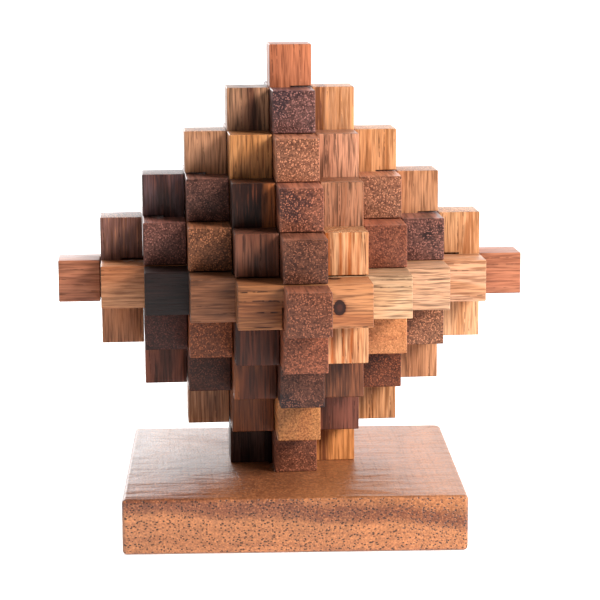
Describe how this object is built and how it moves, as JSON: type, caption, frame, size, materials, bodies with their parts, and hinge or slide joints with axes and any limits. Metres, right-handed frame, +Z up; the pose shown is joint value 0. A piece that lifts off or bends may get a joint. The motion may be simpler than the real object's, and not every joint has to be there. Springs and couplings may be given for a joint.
{
  "type": "wooden burr puzzle",
  "caption": "Stepped crystal of notched square wooden sticks interlocked in three directions, standing tip down in a socket in a flat wooden plate.",
  "frame": {"origin": "centre of the whole object's footprint, on the surface that the plate stands on, straight below the puzzle's tips", "axes": "+Z up along the centre post; +X to the right along the crossbars; -Y to the front, so the rails run front to back along Y"},
  "size_m": [0.1318, 0.1318, 0.1353],
  "materials": {
    "plate_wood": "satin",
    "red_brown_wood": "satin",
    "honey_wood": "satin",
    "orange_wood": "satin",
    "brown_wood": "satin",
    "dark_wood": "satin"
  },
  "bodies": {
    "stand": {"stand_plate": "plate_wood"},
    "puzzle": {"centre_crossbar": "red_brown_wood", "centre_rail": "brown_wood", "centre_post": "orange_wood", "crossbar_back_1": "honey_wood", "crossbar_back_2": "orange_wood", "crossbar_back_3": "honey_wood", "crossbar_back_4": "brown_wood", "crossbar_front_1": "honey_wood", "crossbar_front_2": "dark_wood", "crossbar_front_3": "honey_wood", "crossbar_front_4": "honey_wood", "post_left_1": "honey_wood", "post_left_2": "brown_wood", "post_left_3": "dark_wood", "post_left_4": "dark_wood", "post_left_back_1": "orange_wood", "post_left_back_2": "brown_wood", "post_left_back_3": "brown_wood", "post_left_front_1": "honey_wood", "post_left_front_2": "dark_wood", "post_left_front_3": "brown_wood", "post_right_1": "orange_wood", "post_right_2": "orange_wood", "post_right_3": "orange_wood", "post_right_4": "orange_wood", "post_right_back_1": "brown_wood", "post_right_back_2": "honey_wood", "post_right_back_3": "dark_wood", "post_right_front_1": "orange_wood", "post_right_front_2": "brown_wood", "post_right_front_3": "orange_wood", "rail_down_1": "brown_wood", "rail_down_2": "brown_wood", "rail_down_3": "honey_wood", "rail_down_4": "brown_wood", "rail_left_2_down_1": "brown_wood", "rail_left_2_down_2": "dark_wood", "rail_left_2_up_1": "brown_wood", "rail_left_2_up_2": "red_brown_wood", "rail_left_3_down_1": "dark_wood", "rail_left_3_up_1": "red_brown_wood", "rail_right_2_down_1": "orange_wood", "rail_right_2_down_2": "dark_wood", "rail_right_2_up_1": "red_brown_wood", "rail_right_2_up_2": "dark_wood", "rail_right_3_down_1": "dark_wood", "rail_right_3_up_1": "dark_wood", "rail_up_2": "brown_wood", "rail_up_3": "brown_wood", "rail_up_4": "dark_wood"},
    "key": {"key_rail": "dark_wood"}
  },
  "joints": [
    {"name": "lift_off", "type": "slide", "parent": "stand", "child": "puzzle", "axis": [0, 0, 1], "range_m": [0, 0.04]},
    {"name": "key_slide", "type": "slide", "parent": "puzzle", "child": "key", "axis": [0, -1, 0], "range_m": [-0.012, 0.012]}
  ]
}
